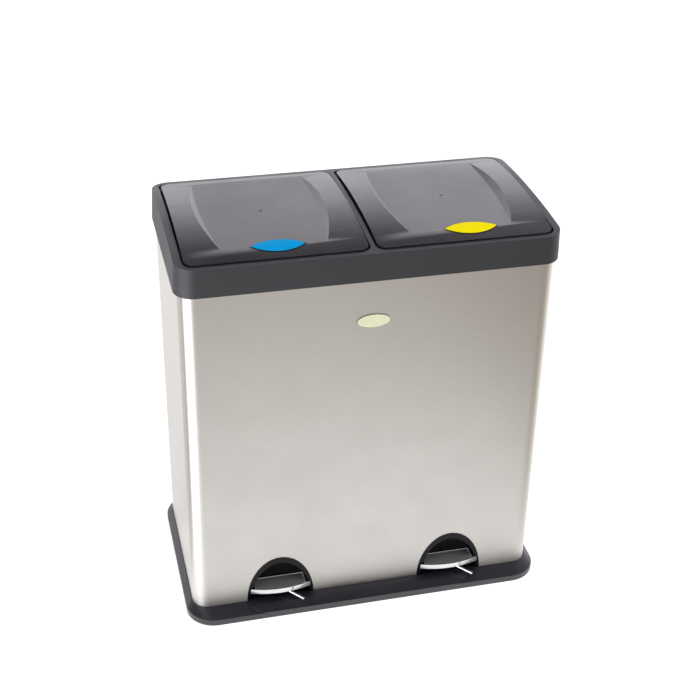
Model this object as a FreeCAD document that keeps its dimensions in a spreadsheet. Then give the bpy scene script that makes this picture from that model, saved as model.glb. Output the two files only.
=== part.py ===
import FreeCAD, Part
import math
import os
import re

import Sketcher

# Double pedal bin: a brushed-steel box on a plastic plinth, a plastic frame with two lids on top,
# two lift-out buckets inside, and two pedals that open the lids through levers and push rods.
# Frame of the whole object: +Z up, +X to the right of the front view, -Y to the front,
# origin in the middle of the plinth's footprint. Sub-parts are drawn about the middle of the
# steel body, and their Placement moves them back by body_shift, because the plinth reaches
# further out in front than behind.

SIZES = {
    # a size that starts with = follows the ones it names
    # steel body
    "body_width": 564.6,
    "body_depth": 292.0,
    "body_corner": 25.5,
    "body_bottom": 14.2,
    "body_top": 596.0,
    "sheet": 0.8,
    "body_shift": 8.5,
    # plinth
    "plinth_side": 11.0,
    "plinth_width": "=body_width + 2 * plinth_side",
    "plinth_nose": 30.5,
    "plinth_front": "=body_depth / 2 + plinth_nose",
    "plinth_heel": 12.5,
    "plinth_back": "=body_depth / 2 + plinth_heel",
    "plinth_corner": 46.0,
    "plinth_bottom": 1.0,
    "plinth_band_top": 11.5,
    "plinth_top": 16.0,
    "plinth_floor": 6.0,
    "plinth_ledge": 1.6,
    "upstand_top": 36.0,
    "upstand_wall": 3.0,
    "apron_left": 195.0,
    "apron_right": 175.0,
    "apron_top": 18.5,
    "apron_edge": 12.5,
    "apron_corner": 28.0,
    "apron_root": 30.0,
    "foot_radius": 12.0,
    "foot_inset": 52.0,
    # top frame
    "frame_bottom": 581.6,
    "frame_side": 4.9,
    "frame_width": "=body_width + 2 * frame_side",
    "frame_lap": 5.0,
    "frame_depth": "=body_depth + 2 * frame_lap",
    "frame_corner": 30.0,
    "frame_draft": 2.9,
    "frame_back_draft": 4.4,
    "frame_crown": 635.1,
    "frame_crown_place": 9.0,
    "frame_arch": 1407.0,
    "frame_wall": 8.5,
    "ledge_top": 620.5,
    "ledge_bottom": 616.0,
    "ledge_width": 6.0,
    "bar_width": 7.0,
    "hinge_pocket_front": 108.0,
    # lids
    "lid_width": 264.4,
    "lid_inner": 6.2,
    "lid_centre": "=lid_inner + lid_width / 2",
    "lid_front": 141.0,
    "lid_back": 134.0,
    "lid_corner": 14.0,
    "well_back_corner": 9.0,
    "well_back_start": 60.0,
    "lid_crown": 639.7,
    "lid_crown_place": 4.0,
    "lid_arch": 955.0,
    "lid_bottom": 623.0,
    "lid_skirt": 3.5,
    "lid_ceiling": 629.8,
    "lid_gap": 3.0,
    "lid_front_gap": 1.2,
    "skirt_inner_top": 626.0,
    "ceiling_front": 108.0,
    "ceiling_back": 122.0,
    "pad_level": 632.8,
    "pad_half_width": 89.0,
    "pad_side_radius": 930.0,
    "pad_wall_slope": 54.0,
    "pad_middle": 40.0,
    "pad_reach": 125.0,
    "gate_place": 6.0,
    "gate_radius": 2.4,
    "gate_depth": 0.6,
    "left_gate_shift": 1.7,
    "right_gate_shift": 4.4,
    "hinge_place": 125.0,
    "hinge_height": 624.0,
    "hinge_pin_radius": 2.5,
    "hinge_play": 0.05,
    "ear_thickness": 6.0,
    "ear_radius": 6.0,
    "ear_inset": 8.0,
    "lid_opening": 72.0,
    "bumper_place": 112.8,
    "bumper_width": 3.0,
    "bumper_length": 14.0,
    "bumper_gap": 0.1,
    "label_length": 78.6,
    "label_width": 32.0,
    "label_thick": 0.8,
    "label_place": 109.5,
    "left_label_shift": 5.4,
    "right_label_shift": 14.6,
    "label_turn": -2.0,
    # striker lever, push rod and pedal
    "striker_reach": 15.0,
    "striker_radius": 3.0,
    "striker_gap": 1.0,
    "striker_plate_half": 13.0,
    "striker_plate_depth": 32.0,
    "striker_plate_thick": 2.5,
    "striker_web": 4.0,
    "striker_pin_length": 14.0,
    "rod_centre": 142.0,
    "rod_place": 110.0,
    "rod_radius": 3.0,
    "head_radius": 8.0,
    "head_height": 8.0,
    "foot_height": 10.0,
    "rod_play": 0.08,
    "guide_low": 150.0,
    "guide_high": 500.0,
    "guide_height": 12.0,
    "guide_width": 22.0,
    "guide_nose": 7.5,
    "pivot_place": 72.0,
    "pivot_height": 30.0,
    "pivot_radius": 3.0,
    "pivot_play": 0.05,
    "bracket_length": 32.0,
    "bracket_sheet": 2.0,
    "bracket_ear": 3.0,
    "bracket_ear_length": 18.0,
    "bracket_play": 0.5,
    "lever_width": 20.0,
    "lever_thick": 4.0,
    "lever_nose_inset": 7.0,
    "lever_heel": 14.0,
    "lever_past_rod": 5.0,
    "boss_radius": 7.0,
    "rod_gap": 1.2,
    "pedal_centre": 142.0,
    "pedal_top": 40.0,
    "pedal_lip": 7.8,
    "pedal_skin": 1.6,
    "pedal_bead": 1.8,
    "pedal_bead_rise": 0.8,
    "pedal_reach": 11.0,
    "pedal_front": "=body_depth / 2 + pedal_reach",
    "pedal_shoulder": 2.9,
    "pedal_step": "=body_depth / 2 + pedal_shoulder",
    "pedal_play": 0.8,
    "pedal_half_chord": 49.0,
    "pedal_inner_half": 42.0,
    "wire_radius": 2.1,
    "wire_play": 0.08,
    "wire_length": 41.0,
    "wire_turn": 40.0,
    "wire_side": 5.0,
    "wire_inset": 3.0,
    "wire_place": "=body_depth / 2 - wire_inset",
    "wire_gap": 0.3,
    # pedal arches in the front wall
    "arch_half_width": 54.5,
    "arch_rise": 80.0,
    "arch_flange": 2.5,
    "arch_proud": 1.2,
    "arch_side_wall": 4.1,
    "arch_top_wall": 8.0,
    "arch_depth": 26.0,
    "arch_back_wall": 2.0,
    "arch_play": 0.5,
    "slot_half_width": 16.0,
    "slot_top": 42.0,
    # bucket deck and buckets
    "deck_top": 54.0,
    "deck_thick": 3.0,
    "deck_side_gap": 12.3,
    "deck_width": "=body_width - 2 * deck_side_gap",
    "deck_front_gap": 2.0,
    "deck_front": "=body_depth / 2 - arch_depth - deck_front_gap",
    "deck_back": 97.0,
    "bucket_side_gap": 10.2,
    "bucket_width": "=lid_width - 2 * bucket_side_gap",
    "bucket_front_gap": 12.0,
    "bucket_front": "=lid_front - bucket_front_gap",
    "bucket_rod_gap": 5.0,
    "bucket_back": "=rod_place - head_radius - bucket_rod_gap",
    "bucket_corner": 22.0,
    "bucket_height": 490.0,
    "bucket_draft": 7.0,
    "bucket_wall": 2.2,
    "bucket_rim": 4.0,
    "bail_wire": 2.0,
    "bail_leg": 62.0,
    "bail_pivot_drop": 8.0,
    "bail_play": 0.1,
    "bail_side_gap": 1.5,
    "bail_stub": 5.0,
    "bail_boss_radius": 7.0,
    "grip_radius": 6.0,
    "grip_length": 92.0,
    # badge and small fasteners
    "badge_half_width": 26.0,
    "badge_half_height": 11.8,
    "badge_height": 514.3,
    "badge_thick": 1.5,
    "screw_radius": 2.0,
    "screw_head": 4.0,
    "guide_screw_bite": 9.0,
    "bracket_screw_bite": 3.5,
    "bracket_screw_step": 10.0,
    "head_thick": 2.0,
}

doc = FreeCAD.newDocument("double_recycling_bin")
sheet = doc.addObject("Spreadsheet::Sheet", "Sizes")
for row, (alias, number) in enumerate(SIZES.items(), start=1):
    sheet.set(f"A{row}", alias)
    sheet.set(f"B{row}", str(number))
    sheet.setAlias(f"B{row}", alias)
doc.recompute()

ALIAS = re.compile(r"\b(" + "|".join(sorted(SIZES, key=len, reverse=True)) + r")\b")
LEFT, RIGHT = -1, 1
SIDES = {"left": LEFT, "right": RIGHT}
AXIS_TURN = {
    "X": FreeCAD.Rotation(FreeCAD.Vector(0, 1, 0), 90),
    "Y": FreeCAD.Rotation(FreeCAD.Vector(1, 0, 0), -90),
    "Z": FreeCAD.Rotation(),
}
nodes = {}


def bound(text):
    """The text of an expression with every alias written as a cell of the sheet."""
    return ALIAS.sub(r"Sizes.\1", str(text))


def value(text):
    """The number that an expression on the aliases gives now."""
    result = sheet.evalExpression(bound(text))
    return float(getattr(result, "Value", result))


def bind(thing, field, text):
    """Tie one property of an object to an expression on the sheet."""
    thing.setExpression(field, bound(text))


def node(name, thing, x="0", y="body_shift", z="0", turn=None):
    """Name a finished sub-part and give it its place in the whole object's frame."""
    thing.Label = name
    if turn:
        axis, angle = turn
        thing.Placement = FreeCAD.Placement(FreeCAD.Vector(), FreeCAD.Rotation(axis, value(angle)))
        bind(thing, "Placement.Rotation.Angle", angle)
    for letter, text in zip("xyz", (x, y, z)):
        bind(thing, f"Placement.Base.{letter}", text)
    nodes[name] = thing
    return thing


# Primitives and booleans ---------------------------------------------------------------------


def box(x, y, z, length, width, height):
    """A block from its low corner and its sizes along X, Y and Z."""
    block = doc.addObject("Part::Box", "Block")
    for field, text in zip(("Length", "Width", "Height"), (length, width, height)):
        bind(block, field, text)
    for letter, text in zip("xyz", (x, y, z)):
        bind(block, f"Placement.Base.{letter}", text)
    return block


def rod(x, y, z, radius, length, axis="Z"):
    """A cylinder that starts at a point and runs along an axis."""
    bar = doc.addObject("Part::Cylinder", "Bar")
    bar.Placement = FreeCAD.Placement(FreeCAD.Vector(), AXIS_TURN[axis])
    bind(bar, "Radius", radius)
    bind(bar, "Height", length)
    for letter, text in zip("xyz", (x, y, z)):
        bind(bar, f"Placement.Base.{letter}", text)
    return bar


def ball(x, y, z, radius):
    """A sphere about a point."""
    sphere = doc.addObject("Part::Sphere", "Ball")
    bind(sphere, "Radius", radius)
    for letter, text in zip("xyz", (x, y, z)):
        bind(sphere, f"Placement.Base.{letter}", text)
    return sphere


def fuse(*pieces):
    """One solid from several that touch or overlap."""
    joined = doc.addObject("Part::MultiFuse", "Joined")
    joined.Shapes = list(pieces)
    return joined


def cut(base, *tools):
    """A solid with one or more others taken away."""
    left_over = doc.addObject("Part::Cut", "Cut")
    left_over.Base = base
    left_over.Tool = tools[0] if len(tools) == 1 else fuse(*tools)
    return left_over


def group(*pieces):
    """Several separate solids, kept as one sub-part."""
    together = doc.addObject("Part::Compound", "Group")
    together.Links = list(pieces)
    return together


# Bodies, sketches and features ---------------------------------------------------------------


def body():
    """An empty body for sketched features."""
    return doc.addObject("PartDesign::Body", "Body")


def sketch(owner, plane, away="0"):
    """A sketch on one of the body's origin planes, moved away along the plane's normal.

    The normals are +Z for XY, -Y for XZ and +X for YZ.
    """
    drawing = owner.newObject("Sketcher::SketchObject", "Sketch")
    support = next(f for f in owner.Origin.OriginFeatures if f.Role == f"{plane}_Plane")
    drawing.AttachmentSupport = [(support, "")]
    drawing.MapMode = "FlatFace"
    bind(drawing, "AttachmentOffset.Base.z", away)
    return drawing


def fix_point(drawing, geometry, end, across, up):
    """Hold one point of a sketch at a place given by two expressions."""
    for kind, text in (("DistanceX", across), ("DistanceY", up)):
        number = drawing.addConstraint(
            Sketcher.Constraint(kind, -1, 1, geometry, end, value(text))
        )
        bind(drawing, f"Constraints[{number}]", text)


def outline(drawing, points, arcs=()):
    """A closed outline through points; arcs maps a side's number to its arc's middle point."""
    arcs = dict(arcs)
    places = [FreeCAD.Vector(value(a), value(b), 0) for a, b in points]
    first = drawing.GeometryCount
    for number, start in enumerate(places):
        end = places[(number + 1) % len(places)]
        if number in arcs:
            middle = FreeCAD.Vector(value(arcs[number][0]), value(arcs[number][1]), 0)
            curve = Part.Arc(start, middle, end)
            index = drawing.addGeometry(curve, False)
            if len(arcs[number]) > 2:
                radius = arcs[number][2]
                bend = drawing.addConstraint(Sketcher.Constraint("Radius", index, value(radius)))
                bind(drawing, f"Constraints[{bend}]", radius)
        else:
            drawing.addGeometry(Part.LineSegment(start, end), False)
    for number, (across, up) in enumerate(points):
        here = first + number
        before = first + (number - 1) % len(points)
        start_end = nearest_end(drawing, here, places[number])
        last_end = nearest_end(drawing, before, places[number])
        drawing.addConstraint(Sketcher.Constraint("Coincident", before, last_end, here, start_end))
        fix_point(drawing, here, start_end, across, up)
    return drawing


def nearest_end(drawing, geometry, place):
    """1 or 2: which end of a line or arc lies at a place, because arcs always run one way."""
    gaps = [(drawing.getPoint(geometry, end) - place).Length for end in (1, 2)]
    return 1 + gaps.index(min(gaps))


def rounded_rectangle(drawing, left, right, low, high, corner):
    """A rectangle between four expressions, with the same radius at each corner."""
    x0, x1, y0, y1, r = (value(text) for text in (left, right, low, high, corner))
    vector = FreeCAD.Vector
    sides = (
        ((x0 + r, y0), (x1 - r, y0)),
        ((x1, y0 + r), (x1, y1 - r)),
        ((x1 - r, y1), (x0 + r, y1)),
        ((x0, y1 - r), (x0, y0 + r)),
    )
    centres = ((x1 - r, y0 + r), (x1 - r, y1 - r), (x0 + r, y1 - r), (x0 + r, y0 + r))
    first = drawing.GeometryCount
    for number, (side, centre) in enumerate(zip(sides, centres)):
        drawing.addGeometry(Part.LineSegment(*(vector(*point, 0) for point in side)), False)
        circle = Part.Circle(vector(*centre, 0), vector(0, 0, 1), r)
        start = math.radians(90 * (number - 1))
        drawing.addGeometry(Part.ArcOfCircle(circle, start, start + math.pi / 2), False)
    for number in range(4):
        line, arc = first + 2 * number, first + 2 * number + 1
        following = first + 2 * ((number + 1) % 4)
        drawing.addConstraint(Sketcher.Constraint("Tangent", line, 2, arc, 1))
        drawing.addConstraint(Sketcher.Constraint("Tangent", arc, 2, following, 1))
        drawing.addConstraint(Sketcher.Constraint(("Horizontal", "Vertical")[number % 2], line))
        if number:
            drawing.addConstraint(Sketcher.Constraint("Equal", first + 1, arc))
    bend = drawing.addConstraint(Sketcher.Constraint("Radius", first + 1, r))
    bind(drawing, f"Constraints[{bend}]", corner)
    for kind, line, text in (
        ("DistanceY", first, low),
        ("DistanceX", first + 2, right),
        ("DistanceY", first + 4, high),
        ("DistanceX", first + 6, left),
    ):
        number = drawing.addConstraint(Sketcher.Constraint(kind, -1, 1, line, 1, value(text)))
        bind(drawing, f"Constraints[{number}]", text)
    return drawing


def ellipse(drawing, across, up, half_width, half_height):
    """An ellipse about a point; the longer half is along its major axis."""
    a, b = value(half_width), value(half_height)
    centre = FreeCAD.Vector(value(across), value(up), 0)
    upright = b > a
    long_end = centre + (FreeCAD.Vector(0, b, 0) if upright else FreeCAD.Vector(a, 0, 0))
    short_end = centre + (FreeCAD.Vector(-a, 0, 0) if upright else FreeCAD.Vector(0, b, 0))
    index = drawing.addGeometry(Part.Ellipse(long_end, short_end, centre), False)
    drawing.exposeInternalGeometry(index)
    fix_point(drawing, index, 3, across, up)
    long_axis, short_axis = index + 1, index + 2
    halves = (half_height, half_width) if upright else (half_width, half_height)
    for axis, half in zip((long_axis, short_axis), halves):
        number = drawing.addConstraint(
            Sketcher.Constraint("Distance", axis, 1, axis, 2, 2 * value(half))
        )
        bind(drawing, f"Constraints[{number}]", f"2 * ({half})")
    drawing.addConstraint(Sketcher.Constraint("Vertical" if upright else "Horizontal", long_axis))
    return drawing


def circle(drawing, across, up, radius):
    """A circle about a point."""
    centre = FreeCAD.Vector(value(across), value(up), 0)
    index = drawing.addGeometry(Part.Circle(centre, FreeCAD.Vector(0, 0, 1), value(radius)), False)
    fix_point(drawing, index, 3, across, up)
    number = drawing.addConstraint(Sketcher.Constraint("Radius", index, value(radius)))
    bind(drawing, f"Constraints[{number}]", radius)
    return drawing


def pad(owner, drawing, length, both_ways=False):
    """Thicken a sketch along its plane's normal, or half each way."""
    feature = owner.newObject("PartDesign::Pad", "Pad")
    feature.Profile = drawing
    feature.SideType = "Symmetric" if both_ways else "One side"
    bind(feature, "Length", length)
    return feature


def pocket(owner, drawing, length, along=False, both_ways=False):
    """Cut a sketch into the body, against its plane's normal unless along is set."""
    doc.recompute()
    before = owner.Shape.Volume
    feature = owner.newObject("PartDesign::Pocket", "Pocket")
    feature.Profile = drawing
    feature.SideType = "Symmetric" if both_ways else "One side"
    feature.Reversed = along
    bind(feature, "Length", length)
    doc.recompute()
    if owner.Shape.Volume > before - 1e-3:
        raise RuntimeError(f"{feature.Name} cut nothing")
    return feature


def loft(owner, lower, upper, take_away=False):
    """A straight-sided solid between two sketches."""
    kind = "PartDesign::SubtractiveLoft" if take_away else "PartDesign::AdditiveLoft"
    feature = owner.newObject(kind, "Loft")
    feature.Profile = lower
    feature.Sections = [upper]
    feature.Ruled = True
    return feature


# Shared outlines and places ------------------------------------------------------------------

BODY_FRONT = "body_depth / 2"
STROKE = "(2 * striker_reach * sin(lid_opening / 2))"
PIN_Y = "(hinge_place - striker_reach * cos(lid_opening / 2))"
PIN_Z = "(hinge_height - striker_reach * sin(lid_opening / 2))"
LEVER_REAR_Z = f"(pivot_height - {STROKE} / 2)"
FOOT_Z = f"({LEVER_REAR_Z} + lever_thick / 2 + rod_gap)"
HEAD_Z = f"({PIN_Z} - striker_radius - striker_gap)"
LEVER_TOP = "(pedal_top - pedal_skin)"
PEDAL_BULGE = "(pedal_front - pedal_step)"
PEDAL_BOW = f"((pedal_half_chord^2 + {PEDAL_BULGE}^2) / (2 * {PEDAL_BULGE}))"
PEDAL_BACK = f"({BODY_FRONT} - arch_depth + arch_back_wall + pedal_play)"
WIRE_Z = "(pedal_top - pedal_lip - wire_gap - wire_radius)"
BUCKET_TOP = "(deck_top + bucket_height)"
BUCKET_MIDDLE = "((bucket_back - bucket_front) / 2)"
BAIL_HALF = "(bucket_width / 2 + bail_wire + bail_side_gap)"
X_DIRECTION = FreeCAD.Vector(1, 0, 0)
Z_DIRECTION = FreeCAD.Vector(0, 0, 1)
FEATURE_CLEARANCE = "0.2"
WELL_HEIGHT = "(frame_crown - ledge_bottom + 30)"


def body_outline(part, away, grow):
    """The steel body's outline in plan, grown outwards by an expression."""
    return around_body(sketch(part, "XY", away), grow)


def around_body(drawing, grow):
    """Add the steel body's outline, grown outwards, to a plan sketch."""
    half_width, half_depth = f"(body_width / 2 + ({grow}))", f"(body_depth / 2 + ({grow}))"
    return rounded_rectangle(
        drawing, f"-{half_width}", half_width, f"-{half_depth}", half_depth,
        f"body_corner + ({grow})",
    )


def arch_height(crown, place, radius, at):
    """The height at a place along Y of an arc that crowns at a place."""
    return f"{crown} - {radius} + sqrt({radius}^2 - (({at}) - {place})^2)"


def above_arch(part, crown, place, radius, reach="200"):
    """A side view of all that lies above an arched top."""
    return outline(
        sketch(part, "YZ"),
        [
            (f"-{reach}", arch_height(crown, place, radius, f"-{reach}")),
            (reach, arch_height(crown, place, radius, reach)),
            (reach, f"{crown} + 30"),
            (f"-{reach}", f"{crown} + 30"),
        ],
        {0: (place, crown, radius)},
    )


# Plinth, feet and steel body -----------------------------------------------------------------


def base_plinth():
    """Plastic plinth: a low band, a slope up to the steel, a raised apron in front, a floor."""
    part = body()
    half = "plinth_width / 2"

    def footprint(away):
        return rounded_rectangle(
            sketch(part, "XY", away), f"-{half}", half, "-plinth_front", "plinth_back",
            "plinth_corner",
        )

    pad(part, footprint("plinth_bottom"), "plinth_band_top - plinth_bottom")
    loft(part, footprint("plinth_band_top"), body_outline(part, "plinth_top", "plinth_ledge"))
    apron = rounded_rectangle(
        sketch(part, "XY", "plinth_bottom"), "-apron_left", "apron_right", "-plinth_front",
        f"-({BODY_FRONT} - apron_root)", "apron_corner",
    )
    pad(part, apron, "apron_top - plinth_bottom")
    reach = f"(plinth_front - {BODY_FRONT})"
    apron_curve = outline(
        sketch(part, "YZ"),
        [
            ("-plinth_front - 5", "apron_edge"),
            ("-plinth_front", "apron_edge"),
            (f"-{BODY_FRONT}", "apron_top"),
            (f"-{BODY_FRONT}", "apron_top + 20"),
            ("-plinth_front - 5", "apron_top + 20"),
        ],
        {1: (f"-plinth_front + 0.3 * {reach}", "apron_edge + 0.68 * (apron_top - apron_edge)")},
    )
    pocket(part, apron_curve, "2 * plinth_width", both_ways=True)
    inside = f"sheet + {FEATURE_CLEARANCE}"
    upstand = body_outline(part, "plinth_band_top", f"-({inside})")
    pad(part, upstand, "upstand_top - plinth_band_top")
    groove = body_outline(part, f"body_bottom - {FEATURE_CLEARANCE}", FEATURE_CLEARANCE)
    around_body(groove, f"-({inside})")
    pocket(part, groove, "upstand_top", along=True)
    tray = body_outline(part, "plinth_floor", f"-({inside} + upstand_wall)")
    pocket(part, tray, "upstand_top", along=True)
    for side in SIDES.values():
        centre = f"{side} * pedal_centre"
        arch = rounded_rectangle(
            sketch(part, "XY", "plinth_top"),
            f"{centre} - arch_half_width - arch_play",
            f"{centre} + arch_half_width + arch_play",
            f"-{BODY_FRONT} - arch_proud - {FEATURE_CLEARANCE}", f"-{BODY_FRONT} + 20", "1",
        )
        pocket(part, arch, "upstand_top", along=True)
    holes = sketch(part, "XY", "plinth_floor")
    for side in SIDES.values():
        for step in (-1, 1):
            circle(
                holes, f"{side} * pedal_centre", f"-pivot_place + {step} * bracket_screw_step",
                "screw_radius",
            )
    pocket(part, holes, "bracket_screw_bite + 0.5")
    node("base_plinth", part)


def rubber_feet():
    """Four thin rubber discs under the plinth."""
    across = "(plinth_width / 2 - foot_inset)"
    node("rubber_feet", group(*(
        rod(f"{side} * {across}", y, "0", "foot_radius", "plinth_bottom")
        for side in (LEFT, RIGHT)
        for y in ("foot_inset - plinth_front", "plinth_back - foot_inset")
    )))


def steel_body():
    """The bent sheet-steel wall, with an arch cut out in front of each pedal."""
    part = body()
    wall = body_outline(part, "body_bottom", "0")
    around_body(wall, "-sheet")
    pad(part, wall, "body_top - body_bottom")
    arches = sketch(part, "XZ", BODY_FRONT)
    for side in SIDES.values():
        ellipse(
            arches, f"{side} * pedal_centre", "plinth_top",
            "arch_half_width - arch_flange", "arch_rise - arch_flange",
        )
    pocket(part, arches, "10", both_ways=True)
    holes = sketch(part, "XZ", f"-{BODY_FRONT}")
    for side in SIDES.values():
        for height in ("guide_low", "guide_high"):
            circle(
                holes, f"{side} * rod_centre", f"{height} + guide_height / 2",
                "screw_radius + 0.1",
            )
    pocket(part, holes, "10", both_ways=True)
    node("steel_body", part)


def pedal_bezel(name, side):
    """Black surround of a pedal arch: a flange on the steel and a shallow closed tunnel."""
    part = body()
    flange = sketch(part, "XZ", BODY_FRONT)
    pad(part, ellipse(flange, "0", "plinth_top", "arch_half_width", "arch_rise"), "arch_proud")
    tunnel = sketch(part, "XZ", f"{BODY_FRONT} - arch_depth")
    fit = f"arch_flange - {FEATURE_CLEARANCE}"
    ellipse(tunnel, "0", "plinth_top", f"arch_half_width - {fit}", f"arch_rise - {fit}")
    pad(part, tunnel, "arch_depth")
    cavity = sketch(part, "XZ", f"{BODY_FRONT} - arch_depth + arch_back_wall")
    ellipse(
        cavity, "0", "plinth_top", "arch_half_width - arch_flange - arch_side_wall",
        "arch_rise - arch_flange - arch_top_wall",
    )
    pocket(part, cavity, "arch_depth * 2", along=True)
    below = rounded_rectangle(
        sketch(part, "XZ"), "-2 * arch_half_width", "2 * arch_half_width",
        "-2 * arch_rise", "plinth_top", "1",
    )
    pocket(part, below, "2 * body_depth", both_ways=True)
    slot = rounded_rectangle(
        sketch(part, "XZ", f"{BODY_FRONT} - arch_depth"), "-slot_half_width", "slot_half_width",
        "plinth_bottom", "slot_top", "4",
    )
    pocket(part, slot, "3 * arch_back_wall", both_ways=True)
    node(f"{name}_pedal_bezel", part, x=f"{side} * pedal_centre")


def bucket_deck():
    """The inner deck that the buckets stand on, carried on three ribs over the levers."""
    plate = box("-deck_width / 2", "-deck_front", "deck_top - deck_thick", "deck_width",
                "deck_front + deck_back", "deck_thick")
    ribs = [
        box(f"{place} * (deck_width - deck_thick) / 2 - deck_thick / 2", "-deck_front",
            "plinth_floor", "deck_thick", "deck_front + deck_back",
            "deck_top - deck_thick - plinth_floor")
        for place in (-1, 0, 1)
    ]
    node("bucket_deck", fuse(plate, *ribs))


def front_badge():
    """A bare oval badge on the front of the steel body."""
    part = body()
    drawing = sketch(part, "XZ", BODY_FRONT)
    pad(part, ellipse(drawing, "0", "badge_height", "badge_half_width", "badge_half_height"),
        "badge_thick")
    node("front_badge", part)


# Top frame and its hinge pins ----------------------------------------------------------------


def top_frame():
    """Plastic frame that caps the steel: a skirt, an arched top band, a bar and two wells."""
    part = body()
    half, depth = "frame_width / 2", "frame_depth / 2"
    lower = rounded_rectangle(
        sketch(part, "XY", "frame_bottom"), f"-{half}", half, f"-{depth}", depth, "frame_corner",
    )
    upper = rounded_rectangle(
        sketch(part, "XY", "frame_crown + 4"), f"-{half} + frame_draft", f"{half} - frame_draft",
        f"-{depth}", f"{depth} - frame_back_draft", "frame_corner - frame_draft",
    )
    loft(part, lower, upper)
    top = above_arch(part, "frame_crown", "frame_crown_place", "frame_arch")
    pocket(part, top, "2 * frame_width", both_ways=True)
    seat = body_outline(part, "frame_bottom", "0.3")
    pocket(part, seat, "body_top + 1 - frame_bottom", along=True)
    hollow = body_outline(part, "frame_bottom", "-frame_wall + 4")
    pocket(part, hollow, "ledge_bottom - frame_bottom", along=True)
    outer = "(lid_centre + lid_width / 2 + lid_gap)"
    front, back = "(lid_front + lid_front_gap)", "(lid_back + lid_gap)"
    for side in SIDES.values():
        near, far = f"{side} * bar_width / 2", f"{side} * {outer}"
        inner_near = f"{side} * (bar_width / 2 + ledge_width)"
        inner_far = f"{side} * ({outer} - ledge_width)"
        if side == LEFT:
            near, far = far, near
            inner_near, inner_far = inner_far, inner_near
        well = rounded_rectangle(
            sketch(part, "XY", "ledge_top"), near, far, f"-{front}", back, "lid_corner",
        )
        pocket(part, well, WELL_HEIGHT, along=True)
        swing_room = rounded_rectangle(
            sketch(part, "XY", "ledge_top"), near, far, "well_back_start", back,
            "well_back_corner",
        )
        pocket(part, swing_room, WELL_HEIGHT, along=True)
        opening = rounded_rectangle(
            sketch(part, "XY", "ledge_bottom - 1"), inner_near, inner_far,
            f"-{front} + ledge_width", f"{back} - ledge_width", "lid_corner",
        )
        pocket(part, opening, WELL_HEIGHT, along=True)
        hinge_room = rounded_rectangle(
            sketch(part, "XY", "ledge_bottom - 1"), near, far, "hinge_pocket_front", back, "8",
        )
        pocket(part, hinge_room, "ledge_top - ledge_bottom + 1", along=True)
    pin_hole = circle(sketch(part, "YZ"), "hinge_place", "hinge_height", "hinge_pin_radius")
    pocket(part, pin_hole, f"2 * ({outer} + ear_inset)", both_ways=True)
    node("top_frame", part)


def hinge_pins():
    """Two short pins in the frame's sides and one through the bar, which both lids share."""
    outer = "(lid_centre + lid_width / 2 + lid_gap + ear_inset)"
    reach = "(lid_gap + 2 * ear_inset + ear_thickness + 1)"
    inner = "(lid_centre - lid_width / 2 + ear_inset + ear_thickness + 1)"
    for name, start, length in (
        ("left_hinge_pin", f"-{outer}", reach),
        ("right_hinge_pin", f"{outer} - {reach}", reach),
        ("centre_hinge_pin", f"-{inner}", f"2 * {inner}"),
    ):
        pin = rod(start, "hinge_place", "hinge_height", "hinge_pin_radius", length, axis="X")
        node(name, group(pin))


# Lids ----------------------------------------------------------------------------------------


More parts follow.
